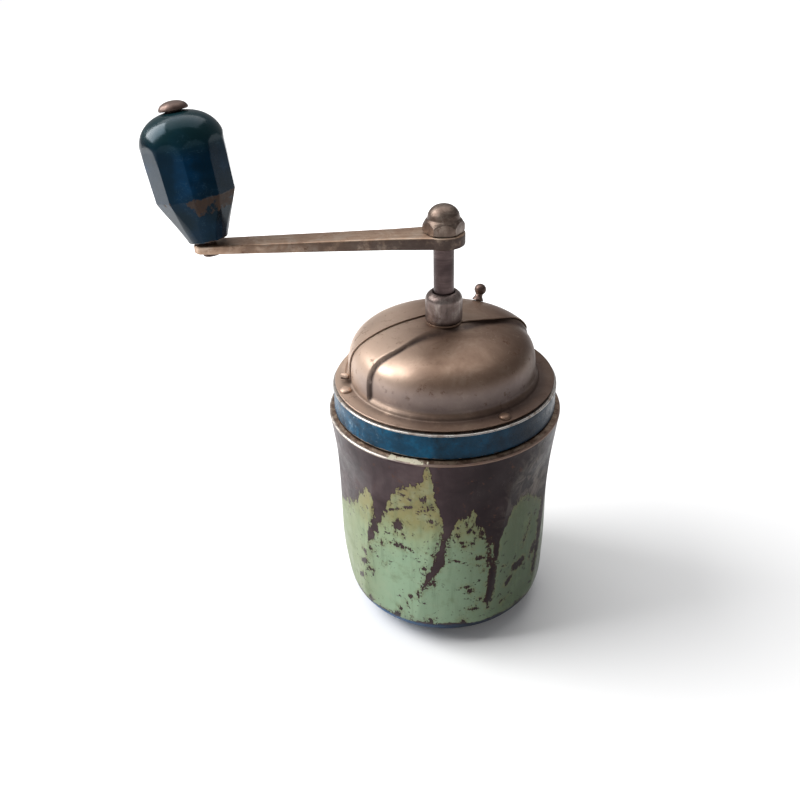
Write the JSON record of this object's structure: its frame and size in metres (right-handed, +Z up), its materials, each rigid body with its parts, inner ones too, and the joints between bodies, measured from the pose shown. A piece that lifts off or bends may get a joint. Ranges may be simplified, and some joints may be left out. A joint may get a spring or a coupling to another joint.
{
  "type": "hand crank coffee grinder",
  "caption": "Upright hand coffee mill: fluted receiver cup, lift-off hopper with domed lid and turning filler shutter, conical burrs, and a side crank with a free-turning knob.",
  "frame": {"origin": "centre of the flat face the cup stands on", "axes": "+Z up along the main shaft, -X the way the crank points at rest (to within 3 degrees), -Y the front"},
  "size_m": [0.1569, 0.096, 0.2194],
  "materials": {
    "cup_paint": "worn green paint over dark bare sheet, blue foot",
    "band_paint": "scuffed blue paint with bare bright edges",
    "aged_nickel": "tarnished nickel plate, brown patina",
    "steel": "worn steel with brown stains",
    "dark_steel": "dark oxidised steel",
    "tin_plate": "dull tin plate",
    "cast_iron": "hardened dark iron",
    "knob_lacquer": "turned and faceted wood under glossy dark blue lacquer, worn at the edges"
  },
  "bodies": {
    "cup": {"receiver_cup": "cup_paint"},
    "mill": {"hopper_shell": "band_paint", "hopper_funnel": "tin_plate", "hopper_dome": "aged_nickel", "dome_rivet_1": "aged_nickel", "dome_rivet_2": "aged_nickel", "dome_rivet_3": "aged_nickel", "top_bushing": "steel", "bushing_nut": "steel", "burr_ring": "cast_iron", "burr_screw_1": "steel", "burr_screw_2": "steel", "burr_screw_3": "steel", "burr_screw_4": "steel", "burr_nut_1": "steel", "burr_nut_2": "steel", "burr_nut_3": "steel", "burr_nut_4": "steel", "bearing_bridge": "tin_plate", "lower_bush": "steel", "adjuster_lock_nut": "steel"},
    "shutter": {"filler_shutter": "aged_nickel", "shutter_knob": "aged_nickel"},
    "thrust": {"thrust_washer": "steel"},
    "adjuster": {"adjusting_screw": "steel"},
    "crank": {"main_shaft": "dark_steel", "inner_burr": "cast_iron", "burr_pin": "steel", "crank_arm": "steel", "cap_nut": "tin_plate", "knob_spindle": "dark_steel", "knob_washer": "steel"},
    "knob": {"crank_knob": "knob_lacquer"}
  },
  "joints": [
    {"name": "mill_lift", "type": "slide", "parent": "cup", "child": "mill", "axis": [0, 0, 1], "range_m": [0, 0.09]},
    {"name": "shutter_turn", "type": "hinge", "parent": "mill", "child": "shutter", "pos_m": [0, 0, 0.134], "axis": [0, 0, 1], "range_deg": [-150, 0]},
    {"name": "thrust_slide", "type": "slide", "parent": "mill", "child": "thrust", "axis": [0, 0, 1], "range_m": [0, 0.001]},
    {"name": "adjuster_turn", "type": "hinge", "parent": "thrust", "child": "adjuster", "pos_m": [0, 0, 0.0431], "axis": [0, 0, 1], "range_deg": [0, 360]},
    {"name": "crank_turn", "type": "hinge", "parent": "thrust", "child": "crank", "pos_m": [0, 0, 0.14], "axis": [0, 0, 1], "continuous": true},
    {"name": "knob_spin", "type": "hinge", "parent": "crank", "child": "knob", "pos_m": [-0.08818, -0.00462, 0.1685], "axis": [-0.1465, 0.0796, 0.986], "continuous": true}
  ],
  "couplings": [
    {"joint": "adjuster_turn", "follows": "thrust_slide", "rad_per_m": 6283.2}
  ]
}
